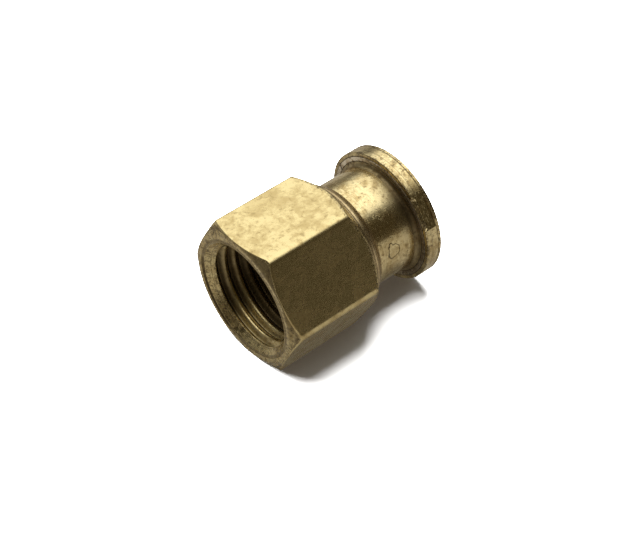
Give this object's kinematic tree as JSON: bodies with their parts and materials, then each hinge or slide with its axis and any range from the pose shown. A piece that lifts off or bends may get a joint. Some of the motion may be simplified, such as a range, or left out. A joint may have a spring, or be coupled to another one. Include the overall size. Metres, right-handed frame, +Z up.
{
  "type": "thru hull fitting",
  "caption": "Brass through-hull fitting: flanged barrel with a smooth neck, clamped by a hexagon coupling whose open end is a threaded pipe socket.",
  "frame": {"origin": "on the fitting's axis, half way between the mouth of the pipe socket and the flange's outer face; also the centre of the bounding box", "axes": "+X along the axis from the pipe socket to the flange, +Z up with the fitting lying on one hex flat"},
  "size_m": [0.0216, 0.0182, 0.0158],
  "materials": {
    "hexagon_brass": "drawn bar, bright with brown mottling, turned ends",
    "barrel_brass": "turned, lightly oxidised",
    "ring_brass": "turned, dull",
    "seal_rubber": "matt black"
  },
  "bodies": {
    "barrel": {"flanged_barrel": "barrel_brass", "hull_washer": "ring_brass"},
    "ring": {"seat_ring": "ring_brass", "barrel_o_ring": "seal_rubber"},
    "coupling": {"hex_coupling": "hexagon_brass"}
  },
  "joints": [
    {"name": "ring_slide", "type": "slide", "parent": "barrel", "child": "ring", "axis": [1, 0, 0], "range_m": [-0.00282, 0]},
    {"name": "coupling_turn", "type": "hinge", "parent": "ring", "child": "coupling", "pos_m": [0, 0, 0], "axis": [1, 0, 0], "range_deg": [-720, 0]}
  ],
  "couplings": [
    {"joint": "ring_slide", "follows": "coupling_turn", "m_per_rad": 0.00022459}
  ]
}
